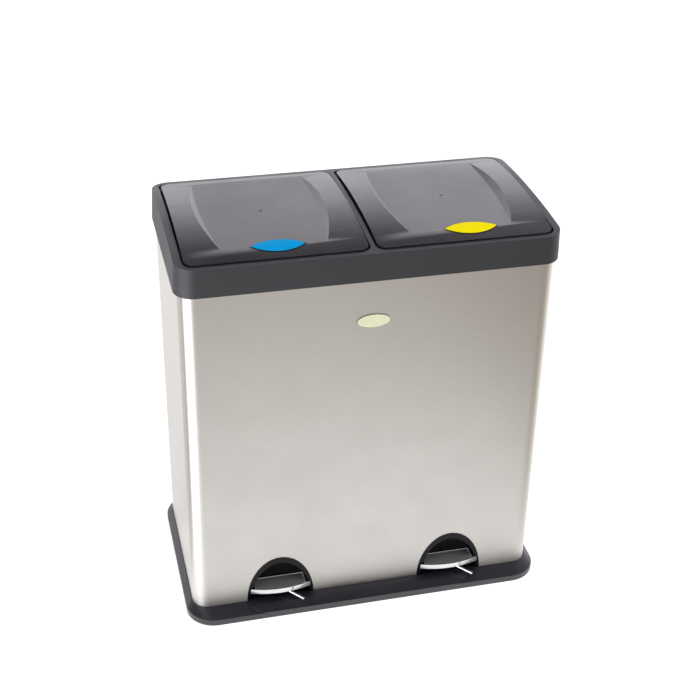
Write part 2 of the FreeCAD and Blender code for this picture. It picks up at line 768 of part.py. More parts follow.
def lid_shell(name, side):
    """A moulded lid: arched top, sunken pad with curved sloping sides, skirt and hinge ears."""
    part = body()
    half = "lid_width / 2"
    plan = rounded_rectangle(
        sketch(part, "XY", "lid_bottom"), f"-{half}", half, "-lid_front", "lid_back", "lid_corner",
    )
    pad(part, plan, "lid_crown + 1 - lid_bottom")
    top = above_arch(part, "lid_crown", "lid_crown_place", "lid_arch")
    pocket(part, top, "2 * lid_width", both_ways=True)

    def pad_outline(rise):
        spread = f"({rise}) * tan(pad_wall_slope)"
        radius = f"(pad_side_radius + {spread})"
        drop = f"({radius} - sqrt({radius}^2 - (pad_reach + pad_middle)^2))"
        drop_back = f"({radius} - sqrt({radius}^2 - (pad_reach - pad_middle)^2))"
        wide = f"(pad_half_width + {spread})"
        return outline(
            sketch(part, "XY", f"pad_level + {rise}"),
            [
                (f"-{wide} + {drop}", "-pad_reach"),
                (f"{wide} - {drop}", "-pad_reach"),
                (f"{wide} - {drop_back}", "pad_reach"),
                (f"-{wide} + {drop_back}", "pad_reach"),
            ],
            {1: (wide, "pad_middle", radius), 3: (f"-{wide}", "pad_middle", radius)},
        )

    loft(part, pad_outline("0"), pad_outline("10"), take_away=True)
    gate_mark = circle(
        sketch(part, "XY", "pad_level - gate_depth"), f"{name}_gate_shift", "gate_place",
        "gate_radius",
    )
    pocket(part, gate_mark, "10", along=True)
    inner = f"{half} - lid_skirt"
    skirt_room = rounded_rectangle(
        sketch(part, "XY", "lid_bottom"), f"-({inner})", inner, "-lid_front + lid_skirt",
        "lid_back - lid_skirt", "lid_corner - lid_skirt",
    )
    pocket(part, skirt_room, "skirt_inner_top - lid_bottom", along=True)
    ceiling = rounded_rectangle(
        sketch(part, "XY", "lid_bottom"), f"-({inner})", inner, "-ceiling_front",
        "ceiling_back", "lid_corner - lid_skirt",
    )
    pocket(part, ceiling, "lid_ceiling - lid_bottom", along=True)
    for end in (-1, 1):
        place = f"{end} * ({half} - ear_inset - ear_thickness / 2)"
        ear = outline(
            sketch(part, "YZ", place),
            [
                ("hinge_place - ear_radius", "hinge_height"),
                ("hinge_place + ear_radius", "hinge_height"),
                ("hinge_place + ear_radius", "lid_ceiling + 0.3"),
                ("hinge_place - ear_radius", "lid_ceiling + 0.3"),
            ],
        )
        pad(part, ear, "ear_thickness", both_ways=True)
        eye = circle(sketch(part, "YZ", place), "hinge_place", "hinge_height", "ear_radius")
        pad(part, eye, "ear_thickness", both_ways=True)
    pin_hole = circle(
        sketch(part, "YZ"), "hinge_place", "hinge_height", "hinge_pin_radius + hinge_play",
    )
    pocket(part, pin_hole, "2 * lid_width", both_ways=True)
    node(f"{name}_lid_shell", part, x=f"{side} * lid_centre")


def lid_label(name, side):
    """Thin coloured insert, pointed at both ends, that follows the lid's top near its front."""
    part = body()
    length, width, turn = "label_length / 2", "label_width / 2", "label_turn"
    place = "label_place"
    lens = outline(
        sketch(part, "XY", "pad_level - 8"),
        [
            (f"-{length} * cos({turn})", f"-{place} - {length} * sin({turn})"),
            (f"{length} * cos({turn})", f"-{place} + {length} * sin({turn})"),
        ],
        {
            0: (f"{width} * sin({turn})", f"-{place} - {width} * cos({turn})"),
            1: (f"-{width} * sin({turn})", f"-{place} + {width} * cos({turn})"),
        },
    )
    pad(part, lens, "14")
    join = "(lid_crown_place - sqrt(lid_arch^2 - (lid_arch - lid_crown + pad_level)^2))"
    before = "-(label_place + label_width)"
    after = "-(label_place - label_width)"
    for lift, limit in (("label_thick", "lid_crown + 4"), ("0", "pad_level - 12")):
        start = arch_height("lid_crown", "lid_crown_place", "lid_arch", before)
        middle = f"({join} + {before}) / 2"
        halfway = arch_height("lid_crown", "lid_crown_place", "lid_arch", middle)
        profile = outline(
            sketch(part, "YZ"),
            [
                (before, f"{start} + {lift}"),
                (join, f"pad_level + {lift}"),
                (after, f"pad_level + {lift}"),
                (after, limit),
                (before, limit),
            ],
            {0: (middle, f"{halfway} + {lift}")},
        )
        pocket(part, profile, "2 * label_length", both_ways=True)
    node(f"{name}_lid_label", part, x=f"{side} * lid_centre + {name}_label_shift")


def lid_striker(name, side):
    """Lever under the lid's back edge; its cross pin is what the push rod lifts."""
    part = body()
    half, back = "striker_plate_half", "(ceiling_back - 2)"
    plate = rounded_rectangle(
        sketch(part, "XY", "lid_ceiling - striker_plate_thick"), f"-{half}", half,
        f"{back} - striker_plate_depth", back, "3",
    )
    pad(part, plate, "striker_plate_thick")
    web = outline(
        sketch(part, "YZ"),
        [
            (f"{PIN_Y} - striker_radius", PIN_Z),
            (f"{PIN_Y} + striker_radius", PIN_Z),
            (f"{back} - 2", "lid_ceiling - striker_plate_thick / 2"),
            (f"{back} - striker_plate_depth + 4", "lid_ceiling - striker_plate_thick / 2"),
        ],
    )
    pad(part, web, "striker_web", both_ways=True)
    pin = circle(sketch(part, "YZ"), PIN_Y, PIN_Z, "striker_radius")
    pad(part, pin, "striker_pin_length", both_ways=True)
    node(f"{name}_lid_striker", part, x=f"{side} * rod_centre")


def lid_bumpers(name, side):
    """Two soft pads under the lid's skirt, which meet the frame's ledge when the lid is shut."""
    node(
        f"{name}_lid_bumpers",
        group(*(
            box(f"{end} * (lid_width - lid_skirt) / 2 - bumper_width / 2", "-bumper_place",
                "ledge_top + bumper_gap", "bumper_width", "bumper_length",
                "lid_bottom - ledge_top - bumper_gap")
            for end in (-1, 1)
        )),
        x=f"{side} * lid_centre",
    )


# Push rods and their guides ------------------------------------------------------------------


def push_rod(name, side):
    """A steel rod behind the bucket, with a pad at each end."""
    place = f"{side} * rod_centre"
    foot = rod("0", "rod_place", FOOT_Z, "head_radius", "foot_height")
    bar = rod("0", "rod_place", f"{FOOT_Z} + foot_height", "rod_radius",
              f"{HEAD_Z} - head_height - {FOOT_Z} - foot_height")
    head = rod("0", "rod_place", f"{HEAD_Z} - head_height", "head_radius", "head_height")
    node(f"{name}_rod_foot", group(foot), x=place)
    node(f"{name}_push_rod", group(bar), x=place)
    node(f"{name}_rod_head", group(head), x=place)


def rod_guides(name, side):
    """Two plastic blocks on the back wall that keep the push rod upright."""
    inner = f"{BODY_FRONT} - sheet"
    guides = []
    for height in ("guide_low", "guide_high"):
        block = box("-guide_width / 2", "rod_place - guide_nose", height, "guide_width",
                    f"{inner} - rod_place + guide_nose", "guide_height")
        slide = rod("0", "rod_place", f"{height} - 1", "rod_radius + rod_play",
                    "guide_height + 2")
        screw = rod("0", f"{inner} - guide_screw_bite - 1", f"{height} + guide_height / 2",
                    "screw_radius", "guide_screw_bite + 3", axis="Y")
        guides.append(cut(block, slide, screw))
    node(f"{name}_rod_guides", group(*guides), x=f"{side} * rod_centre")


def screws():
    """Guide screws through the back wall, and the screws that hold the pedal brackets down."""
    guide = []
    bracket = []
    for side in SIDES.values():
        for height in ("guide_low", "guide_high"):
            level = f"{height} + guide_height / 2"
            place = f"{side} * rod_centre"
            shank = rod(place, f"{BODY_FRONT} - sheet - guide_screw_bite", level, "screw_radius",
                        "sheet + guide_screw_bite", axis="Y")
            head = rod(place, BODY_FRONT, level, "screw_head", "head_thick", axis="Y")
            guide.append(fuse(shank, head))
        for step in (-1, 1):
            place = (f"{side} * pedal_centre", f"-pivot_place + {step} * bracket_screw_step")
            shank = rod(*place, "plinth_floor - bracket_screw_bite", "screw_radius",
                        "bracket_screw_bite + bracket_sheet")
            head = rod(*place, "plinth_floor + bracket_sheet", "screw_head", "head_thick")
            bracket.append(fuse(shank, head))
    node("guide_screws", group(*guide))
    node("bracket_screws", group(*bracket))


# Pedals --------------------------------------------------------------------------------------


def pedal_plate(name, side):
    """The chromed tread: straight at the back, bowed at the front, with a bead and a lip."""
    part = body()

    def under(lift):
        return sketch(part, "XY", f"pedal_top - {lift}")

    def tread(drawing):
        return outline(
            drawing,
            [
                ("-pedal_inner_half", f"-{PEDAL_BACK}"),
                ("-pedal_inner_half", "-pedal_step"),
                ("-pedal_half_chord", "-pedal_step"),
                ("pedal_half_chord", "-pedal_step"),
                ("pedal_inner_half", "-pedal_step"),
                ("pedal_inner_half", f"-{PEDAL_BACK}"),
            ],
            {2: ("0", "-pedal_front")},
        )

    def inside(drawing, wall, back_wall):
        half = f"(pedal_inner_half - {wall})"
        shoulder = f"({PEDAL_BOW} - pedal_front - sqrt(({PEDAL_BOW} - {wall})^2 - {half}^2))"
        back = f"-{PEDAL_BACK} - {back_wall}"
        return outline(
            drawing,
            [(f"-{half}", back), (f"-{half}", shoulder), (half, shoulder), (half, back)],
            {1: ("0", f"-pedal_front + {wall}")},
        )

    pad(part, tread(under("pedal_lip")), "pedal_lip")
    hollow = inside(under("pedal_lip"), "pedal_skin", "(-pedal_skin)")
    pocket(part, hollow, "pedal_lip - pedal_skin", along=True)
    bead = inside(tread(under("0")), "pedal_bead", "pedal_bead")
    pad(part, bead, "pedal_bead_rise")
    node(f"{name}_pedal_plate", part, x=f"{side} * pedal_centre")


def pedal_lever(name, side):
    """The rocking lever: tread at the front, pivot in the middle, push-rod end at the back."""
    part = body()
    low_top = f"({LEVER_TOP} - lever_thick)"
    side_view = outline(
        sketch(part, "YZ"),
        [
            ("-pedal_front + lever_nose_inset", LEVER_TOP),
            ("-pivot_place - 50", LEVER_TOP),
            ("-pivot_place", "pivot_height + 4"),
            ("rod_place - lever_heel", f"{LEVER_REAR_Z} + lever_thick / 2"),
            ("rod_place + lever_past_rod", f"{LEVER_REAR_Z} + lever_thick / 2"),
            ("rod_place + lever_past_rod", f"{LEVER_REAR_Z} - lever_thick / 2"),
            ("rod_place - lever_heel", f"{LEVER_REAR_Z} - lever_thick / 2"),
            ("-pivot_place", "pivot_height - 3"),
            ("-pivot_place - 46", low_top),
            ("-pedal_front + lever_nose_inset", low_top),
        ],
    )
    pad(part, side_view, "lever_width", both_ways=True)
    boss = circle(sketch(part, "YZ"), "-pivot_place", "pivot_height", "boss_radius")
    pad(part, boss, "lever_width", both_ways=True)
    bore = circle(sketch(part, "YZ"), "-pivot_place", "pivot_height", "pivot_radius + pivot_play")
    pocket(part, bore, "2 * lever_width", both_ways=True)
    swivel = circle(sketch(part, "XY", LEVER_TOP), "wire_side", "-wire_place",
                    "wire_radius + wire_play")
    pocket(part, swivel, "2 * lever_thick")
    node(f"{name}_pedal_lever", part, x=f"{side} * pedal_centre")


def pedal_bracket(name, side):
    """A steel fork on the plinth's floor, and the pin that the lever rocks on."""
    ear = "bracket_ear"
    inner = "(lever_width / 2 + bracket_play)"
    base = box(f"-{inner} - {ear}", "-pivot_place - bracket_length / 2", "plinth_floor",
               f"2 * ({inner} + {ear})", "bracket_length", "bracket_sheet")
    ears = [
        box(start, "-pivot_place - bracket_ear_length / 2", "plinth_floor", ear,
            "bracket_ear_length", "pivot_height + boss_radius - plinth_floor")
        for start in (f"-{inner} - {ear}", inner)
    ]
    bore = rod("-lever_width", "-pivot_place", "pivot_height", "pivot_radius",
               "2 * lever_width", axis="X")
    holes = [
        rod("0", f"-pivot_place + {step} * bracket_screw_step", "plinth_bottom", "screw_radius", "20")
        for step in (-1, 1)
    ]
    place = f"{side} * pedal_centre"
    node(f"{name}_pedal_bracket", cut(fuse(base, *ears), bore, *holes), x=place)
    pin = rod(f"-{inner} - {ear} - 1", "-pivot_place", "pivot_height", "pivot_radius",
              f"2 * ({inner} + {ear} + 1)", axis="X")
    node(f"{name}_pivot_pin", group(pin), x=place)


def hold_open_wire(name, side):
    """A bent wire that swivels under the tread and can be swung out to keep the pedal down."""
    stub = rod("0", "0", WIRE_Z, "wire_radius", f"{LEVER_TOP} - {WIRE_Z} - 0.2")
    arm = rod("0", "-wire_length", WIRE_Z, "wire_radius", "wire_length", axis="Y")
    bend = ball("0", "0", WIRE_Z, "wire_radius")
    tip = ball("0", "-wire_length", WIRE_Z, "wire_radius")
    node(
        f"{name}_hold_open_wire", fuse(stub, arm, bend, tip),
        x=f"{side} * pedal_centre + wire_side", y="body_shift - wire_place",
        turn=(Z_DIRECTION, "wire_turn"),
    )


# Buckets and bails ---------------------------------------------------------------------------


def bucket(name, side):
    """A tapered bucket with a flat rim and a boss at each end for its bail."""
    part = body()

    def plan(away, inset):
        half = f"(bucket_width / 2 - {inset})"
        return rounded_rectangle(
            sketch(part, "XY", away), f"-{half}", half, f"-bucket_front + {inset}",
            f"bucket_back - {inset}", f"bucket_corner - ({inset}) / 2",
        )

    foot = "(bucket_rim + bucket_draft)"
    loft(part, plan("deck_top", foot), plan(BUCKET_TOP, "bucket_rim"))
    pad(part, plan(f"{BUCKET_TOP} - bucket_rim", "0"), "bucket_rim")
    boss = circle(sketch(part, "YZ"), BUCKET_MIDDLE, f"{BUCKET_TOP} - bail_pivot_drop",
                  "bail_boss_radius")
    pad(part, boss, "bucket_width", both_ways=True)
    loft(part, plan("deck_top + bucket_wall", f"({foot} + bucket_wall)"),
         plan(f"{BUCKET_TOP} + 0.01", "(bucket_rim + bucket_wall)"), take_away=True)
    bore = circle(sketch(part, "YZ"), BUCKET_MIDDLE, f"{BUCKET_TOP} - bail_pivot_drop",
                  "bail_wire + bail_play")
    pocket(part, bore, "2 * bucket_width", both_ways=True)
    node(f"{name}_bucket", part, x=f"{side} * lid_centre")


def bail(name, side):
    """The bucket's wire bail, folded down on the rim, with a plastic grip in its middle."""
    wire = "bail_wire"
    stub = f"({BAIL_HALF} - bucket_width / 2 + bail_stub)"
    shapes = [rod(f"-{BAIL_HALF}", "bail_leg", "0", wire, f"2 * {BAIL_HALF}", axis="X")]
    for end, start in ((-1, f"-{BAIL_HALF}"), (1, f"{BAIL_HALF} - {stub}")):
        shapes.append(rod(start, "0", "0", wire, stub, axis="X"))
        shapes.append(rod(f"{end} * {BAIL_HALF}", "0", "0", wire, "bail_leg", axis="Y"))
        shapes.append(ball(f"{end} * {BAIL_HALF}", "0", "0", wire))
        shapes.append(ball(f"{end} * {BAIL_HALF}", "bail_leg", "0", wire))
    lean = f"asin((bail_pivot_drop + {wire} + 0.3) / bail_leg)"
    place = {
        "x": f"{side} * lid_centre",
        "y": f"body_shift + {BUCKET_MIDDLE}",
        "z": f"{BUCKET_TOP} - bail_pivot_drop",
        "turn": (X_DIRECTION, lean),
    }
    node(f"{name}_bail", fuse(*shapes), **place)
    tube = rod("-grip_length / 2", "bail_leg", "0", "grip_radius", "grip_length", axis="X")
    bore = rod("-grip_length", "bail_leg", "0", wire, "2 * grip_length", axis="X")
    node(f"{name}_bail_grip", cut(tube, bore), **place)


# The whole object ----------------------------------------------------------------------------

base_plinth()
rubber_feet()
steel_body()
bucket_deck()
front_badge()
top_frame()
hinge_pins()
screws()
for side_name, side_sign in SIDES.items():
    pedal_bezel(side_name, side_sign)
    lid_shell(side_name, side_sign)
    lid_label(side_name, side_sign)
    lid_striker(side_name, side_sign)
    lid_bumpers(side_name, side_sign)
    push_rod(side_name, side_sign)
    rod_guides(side_name, side_sign)
    pedal_plate(side_name, side_sign)
    pedal_lever(side_name, side_sign)
    pedal_bracket(side_name, side_sign)
    hold_open_wire(side_name, side_sign)
    bucket(side_name, side_sign)
    bail(side_name, side_sign)
doc.recompute()

faults = [thing.Name for thing in doc.Objects if {"Invalid", "Error"} & set(thing.State)]
for name, thing in nodes.items():
    if thing.Shape.isNull() or not thing.Shape.isValid() or not thing.Shape.Solids:
        faults.append(name)
if faults:
    raise RuntimeError(f"these failed: {', '.join(faults)}")

os.makedirs("parts", exist_ok=True)
for name, thing in nodes.items():
    thing.Shape.exportStep(os.path.join("parts", f"{name}.step"))
    size = thing.Shape.BoundBox
    print(f"{name}: {len(thing.Shape.Solids)} solid(s), {thing.Shape.Volume / 1000:.1f} cm3, "
          f"{size.XLength:.1f} x {size.YLength:.1f} x {size.ZLength:.1f}")
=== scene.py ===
"""A double pedal bin: brushed-steel body, plastic frame, plinth and lids, chromed pedals."""

import logging
import math
from collections.abc import Iterable
from dataclasses import dataclass
from enum import Enum

import bpy
from mathutils import Matrix, Vector


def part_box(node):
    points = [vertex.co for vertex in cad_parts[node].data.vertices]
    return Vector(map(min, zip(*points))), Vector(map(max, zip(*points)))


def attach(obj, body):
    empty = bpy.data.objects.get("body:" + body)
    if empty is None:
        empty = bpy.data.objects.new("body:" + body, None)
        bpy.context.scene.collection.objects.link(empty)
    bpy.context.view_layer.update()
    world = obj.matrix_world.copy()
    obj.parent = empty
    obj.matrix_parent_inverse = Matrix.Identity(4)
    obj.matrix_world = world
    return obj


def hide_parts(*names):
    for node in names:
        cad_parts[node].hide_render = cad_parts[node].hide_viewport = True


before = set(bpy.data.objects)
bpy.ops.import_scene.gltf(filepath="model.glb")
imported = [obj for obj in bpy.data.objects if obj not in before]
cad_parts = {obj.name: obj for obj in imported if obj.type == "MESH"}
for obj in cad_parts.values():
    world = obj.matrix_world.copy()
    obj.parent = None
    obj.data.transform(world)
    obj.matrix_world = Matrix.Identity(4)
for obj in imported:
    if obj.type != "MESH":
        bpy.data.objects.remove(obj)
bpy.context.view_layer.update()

LOG = logging.getLogger("pedal_bin")
SIDES = ("left", "right")
MM = 0.001

MERGE_DISTANCE = 0.005 * MM
FLAT_FACE_WEIGHT = 90
OVAL_SIDES = 96
FRONT_NORMAL_Y = -0.99
LEVEL_SLACK = 0.01 * MM
FULL_TURN = 360.0


# Finishes ------------------------------------------------------------------------------------


@dataclass(frozen=True)
class Wear:
    """What every finish shares: slow mottling, rubbed patches and the depth of its relief.

    Attributes:
        mottles: Mottles to a metre.
        mottle_detail: Octaves of finer detail in the mottling.
        mottle_band: Values of the mottling between which the roughness changes.
        patches: Rubbed patches to a metre.
        patch_detail: Octaves of finer detail in the patches.
        patch_swirl: How much the patches' outlines swirl.
        patch_band: Values of the patch pattern at which a patch starts and is complete.
        paler: How many times paler a rubbed patch is.
        palest: What is added to the colour of a rubbed patch.
        smoother: How much of the scuffs' strength is taken off the roughness.
        grain_band: Values of the grain pattern that count as its lows and its tops.
        grain_low: How bright the grain's lows are, against 1 for its tops.
        brush_marks: Brush marks to a metre along the brushing.
        brush_turn: Turn of the smeared highlights, in full turns.
        bump: Strength of the relief.
    """

    mottles: float = 14.0
    mottle_detail: float = 5.0
    mottle_band: tuple[float, float] = (0.3, 0.7)
    patches: float = 45.0
    patch_detail: float = 8.0
    patch_swirl: float = 1.4
    patch_band: tuple[float, float] = (0.58, 0.74)
    paler: float = 1.35
    palest: float = 0.01
    smoother: float = 0.25
    grain_band: tuple[float, float] = (0.25, 0.75)
    grain_low: float = 0.55
    brush_marks: float = 60.0
    brush_turn: float = 0.25
    bump: float = 0.6


WEAR = Wear()


@dataclass(frozen=True)
class GrainLook:
    """How a surface's fine relief shows.

    Attributes:
        depth: How much darker the colour is between the grains, from 0 to 1.
        detail: Octaves of finer detail in the pattern.
    """

    depth: float
    detail: float


class Grain(Enum):
    """The way a surface was made: mould texture, polish or plating, or brushed sheet."""

    SPARK = GrainLook(depth=0.55, detail=4.0)
    POLISHED = GrainLook(depth=0.12, detail=2.0)
    BRUSHED = GrainLook(depth=0.16, detail=4.0)


@dataclass(frozen=True)
class Finish:
    """One surface finish, built as shader nodes on Object coordinates.

    Attributes:
        name: The material's name.
        colour: Base colour, linear RGB.
        second: Colour of the slow mottling over the base colour, linear RGB.
        roughness: Lowest and highest roughness.
        metallic: 1 for bare metal, 0 for plastic and rubber.
        grain: The pattern of the fine relief.
        relief: Height of the fine relief in millimetres.
        grain_size: Size of one grain in millimetres.
        scuffs: How much rubbed, paler patches show, from 0 to 1.
        specular: Specular level of the Principled shader.
        coat: Weight of a clear gloss on top.
        anisotropy: How much a brushed surface smears highlights across its brushing.
    """

    name: str
    colour: tuple[float, float, float]
    second: tuple[float, float, float]
    roughness: tuple[float, float] = (0.4, 0.5)
    metallic: float = 0.0
    grain: Grain = Grain.SPARK
    relief: float = 0.02
    grain_size: float = 0.6
    scuffs: float = 0.15
    specular: float = 0.5
    coat: float = 0.0
    anisotropy: float = 0.0

    def material(self) -> bpy.types.Material:
        """Build the material, or give back the one that was built before.

        Returns:
            The node material of this finish.
        """
        if self.name in bpy.data.materials:
            return bpy.data.materials[self.name]
        material = bpy.data.materials.new(self.name)
        material.use_nodes = True
        nodes, links = material.node_tree.nodes, material.node_tree.links
        shader = nodes["Principled BSDF"]
        shader.inputs["Metallic"].default_value = self.metallic
        shader.inputs["Specular IOR Level"].default_value = self.specular
        shader.inputs["Coat Weight"].default_value = self.coat
        if self.anisotropy:
            shader.inputs["Anisotropic"].default_value = self.anisotropy
            shader.inputs["Anisotropic Rotation"].default_value = WEAR.brush_turn
            tangent = nodes.new("ShaderNodeTangent")
            tangent.direction_type = "RADIAL"
            tangent.axis = "Z"
            links.new(tangent.outputs["Tangent"], shader.inputs["Tangent"])
        place = nodes.new("ShaderNodeTexCoord").outputs["Object"]

        mottle = self._noise(material, place, scale=WEAR.mottles, detail=WEAR.mottle_detail)
        blend = nodes.new("ShaderNodeMix")
        blend.data_type = "RGBA"
        blend.inputs["A"].default_value = (*self.colour, 1.0)
        blend.inputs["B"].default_value = (*self.second, 1.0)
        links.new(mottle, blend.inputs["Factor"])
        fine = self._fine_grain(material, place)
        grained = nodes.new("ShaderNodeMix")
        grained.data_type = "RGBA"
        grained.blend_type = "MULTIPLY"
        grained.inputs["Factor"].default_value = self.grain.value.depth
        links.new(blend.outputs["Result"], grained.inputs["A"])
        links.new(fine, grained.inputs["B"])
        patches = self._noise(
            material, place, scale=WEAR.patches, detail=WEAR.patch_detail,
            swirl=WEAR.patch_swirl,
        )
        scuff = self._remap(material, patches, WEAR.patch_band, (0.0, self.scuffs))
        worn = nodes.new("ShaderNodeMix")
        worn.data_type = "RGBA"
        pale = tuple(min(1.0, channel * WEAR.paler + WEAR.palest) for channel in self.colour)
        worn.inputs["B"].default_value = (*pale, 1.0)
        links.new(scuff, worn.inputs["Factor"])
        links.new(grained.outputs["Result"], worn.inputs["A"])
        links.new(worn.outputs["Result"], shader.inputs["Base Color"])

        rough = self._remap(material, mottle, WEAR.mottle_band, self.roughness)
        rubbed = nodes.new("ShaderNodeMath")
        rubbed.operation = "SUBTRACT"
        links.new(rough, rubbed.inputs[0])
        smoothed = self._remap(
            material, patches, WEAR.patch_band, (0.0, WEAR.smoother * self.scuffs)
        )
        links.new(smoothed, rubbed.inputs[1])
        links.new(rubbed.outputs[0], shader.inputs["Roughness"])

        bump = nodes.new("ShaderNodeBump")
        bump.inputs["Distance"].default_value = self.relief * MM
        bump.inputs["Strength"].default_value = WEAR.bump
        links.new(fine, bump.inputs["Height"])
        links.new(bump.outputs["Normal"], shader.inputs["Normal"])
        return material

    def _fine_grain(
        self, material: bpy.types.Material, place: bpy.types.NodeSocket
    ) -> bpy.types.NodeSocket:
        """Add the fine relief pattern.

        Args:
            material: The material that gets the nodes.
            place: The Object coordinates.

        Returns:
            A socket that is pale on the grain's tops and darker between them.
        """
        grains = 1.0 / (self.grain_size * MM)
        if self.grain is Grain.BRUSHED:
            mapping = material.node_tree.nodes.new("ShaderNodeMapping")
            mapping.inputs["Scale"].default_value = (WEAR.brush_marks, WEAR.brush_marks, grains)
            material.node_tree.links.new(place, mapping.inputs["Vector"])
            place, grains = mapping.outputs["Vector"], 1.0
        noise = self._noise(material, place, scale=grains, detail=self.grain.value.detail)
        return self._remap(material, noise, WEAR.grain_band, (WEAR.grain_low, 1.0))

    @staticmethod
    def _noise(
        material: bpy.types.Material,
        place: bpy.types.NodeSocket,
        scale: float,
        detail: float,
        swirl: float = 0.0,
    ) -> bpy.types.NodeSocket:
        """Add a noise texture and return its factor.

        Args:
            material: The material that gets the node.
            place: The coordinates it reads.
            scale: Features per metre.
            detail: Octaves of finer detail.
            swirl: How much the pattern swirls.

        Returns:
            The noise's factor socket.
        """
        noise = material.node_tree.nodes.new("ShaderNodeTexNoise")
        noise.inputs["Scale"].default_value = scale
        noise.inputs["Detail"].default_value = detail
        noise.inputs["Distortion"].default_value = swirl
        material.node_tree.links.new(place, noise.inputs["Vector"])
        return noise.outputs["Fac"]

    @staticmethod
    def _remap(
        material: bpy.types.Material,
        source: bpy.types.NodeSocket,
        band: tuple[float, float],
        result: tuple[float, float],
    ) -> bpy.types.NodeSocket:
        """Add a Map Range node and return its result.

        Args:
            material: The material that gets the node.
            source: The value to map.
            band: Source values that give the first and the last result.
            result: First and last result.

        Returns:
            The mapped value's socket.
        """
        remap = material.node_tree.nodes.new("ShaderNodeMapRange")
        for name, number in zip(("From Min", "From Max", "To Min", "To Max"), band + result):
            remap.inputs[name].default_value = number
        material.node_tree.links.new(source, remap.inputs["Value"])
        return remap.outputs["Result"]


BRUSHED_STEEL = Finish(
    "brushed steel", (0.73, 0.72, 0.70), (0.76, 0.75, 0.73), (0.31, 0.35), metallic=1.0,
    grain=Grain.BRUSHED, relief=0.002, grain_size=0.9, scuffs=0.03, anisotropy=0.95,
)
FRAME_PLASTIC = Finish(
    "frame plastic", (0.009, 0.011, 0.018), (0.015, 0.017, 0.027), (0.48, 0.58),
    relief=0.08, grain_size=1.6, scuffs=0.12, specular=1.0,
)
LID_PLASTIC = Finish(
    "lid plastic", (0.015, 0.012, 0.016), (0.020, 0.017, 0.021), (0.25, 0.31),
    relief=0.06, grain_size=1.6, scuffs=0.10, specular=0.6,
)
PLINTH_PLASTIC = Finish(
    "plinth plastic", (0.013, 0.015, 0.022), (0.019, 0.021, 0.030), (0.36, 0.44),
    relief=0.08, grain_size=1.6, scuffs=0.16, specular=0.9,
)
BEZEL_PLASTIC = Finish(
    "bezel plastic", (0.003, 0.003, 0.005), (0.005, 0.005, 0.007), (0.30, 0.40),
    relief=0.01, grain_size=0.5, scuffs=0.08, specular=0.22,
)
INNER_PLASTIC = Finish(
    "inner plastic", (0.040, 0.040, 0.042), (0.047, 0.047, 0.049), (0.42, 0.55),
    relief=0.03, grain_size=0.8, scuffs=0.15,
)
BUCKET_PLASTIC = Finish(
    "bucket plastic", (0.030, 0.030, 0.032), (0.036, 0.036, 0.038), (0.35, 0.5),
    relief=0.02, grain_size=0.8, scuffs=0.25,
)
RUBBER = Finish(
    "soft rubber", (0.018, 0.018, 0.018), (0.023, 0.023, 0.023), (0.65, 0.8),
    relief=0.03, grain_size=0.5, scuffs=0.1, specular=0.3,
)
CHROME = Finish(
    "bright chrome", (0.80, 0.81, 0.83), (0.84, 0.85, 0.87), (0.05, 0.11), metallic=1.0,
    grain=Grain.POLISHED, relief=0.004, grain_size=4.0, scuffs=0.06,
)
TREAD_CHROME = Finish(
    "tread chrome", (0.80, 0.81, 0.83), (0.84, 0.85, 0.87), (0.14, 0.22), metallic=0.82,
    grain=Grain.POLISHED, relief=0.006, grain_size=4.0, scuffs=0.10,
)
PLAIN_STEEL = Finish(
    "plated steel", (0.42, 0.42, 0.43), (0.50, 0.50, 0.51), (0.30, 0.42), metallic=1.0,
    relief=0.01, grain_size=0.6, scuffs=0.15,
)
BLUE_LABEL = Finish(
    "blue label", (0.0, 0.330, 0.730), (0.0, 0.345, 0.760), (0.42, 0.50),
    grain=Grain.POLISHED, relief=0.008, grain_size=1.2, scuffs=0.0, specular=0.03,
)
YELLOW_LABEL = Finish(
    "yellow label", (0.97, 0.800, 0.0), (1.0, 0.830, 0.0), (0.42, 0.50),
    grain=Grain.POLISHED, relief=0.008, grain_size=1.2, scuffs=0.0, specular=0.03,
)
BADGE_FACE = Finish(
    "badge face", (0.95, 0.97, 0.66), (1.0, 1.0, 0.72), (0.22, 0.30),
    grain=Grain.POLISHED, relief=0.006, grain_size=1.5, scuffs=0.04, coat=0.4,
)
BADGE_RIM = Finish(
    "badge rim", (0.16, 0.17, 0.07), (0.19, 0.20, 0.09), (0.28, 0.36),
    grain=Grain.POLISHED, relief=0.006, grain_size=1.0, scuffs=0.05,
)


# Mesh helpers --------------------------------------------------------------------------------


def select_only(*objects: bpy.types.Object) -> None:
    """Leave object mode clean: nothing is selected but these, and the last one is active.

    Args:
        objects: The objects to select.
    """
    if bpy.context.object and bpy.context.object.mode != "OBJECT":
        bpy.ops.object.mode_set(mode="OBJECT")
    bpy.ops.object.select_all(action="DESELECT")
    for thing in objects:
        thing.select_set(True)
        bpy.context.view_layer.objects.active = thing


def new_piece(name: str) -> bpy.types.Object:
    """Name the primitive that an operator has just added, and leave only it selected.

    Args:
        name: The piece's name.

    Returns:
        The new object.
    """
    piece = bpy.context.object
    piece.name = name
    piece.data.name = name
    select_only(piece)
    return piece


def settle(piece: bpy.types.Object) -> None:
    """Put the piece's place into its mesh, so that its object sits at the origin.

    Args:
        piece: The object to settle.
    """
    select_only(piece)
    bpy.ops.object.transform_apply(location=True, rotation=True, scale=True)


def apply_modifier(piece: bpy.types.Object, kind: str, **settings: object) -> None:
    """Add one modifier, set it up and apply it.

    Args:
        piece: The object to change.
        kind: The modifier's type, such as BEVEL.
        settings: Values of the modifier's own properties.
    """
    select_only(piece)
    modifier = piece.modifiers.new(kind.lower(), kind)
    for key, setting in settings.items():
        setattr(modifier, key, setting)
    bpy.ops.object.modifier_apply(modifier=modifier.name)


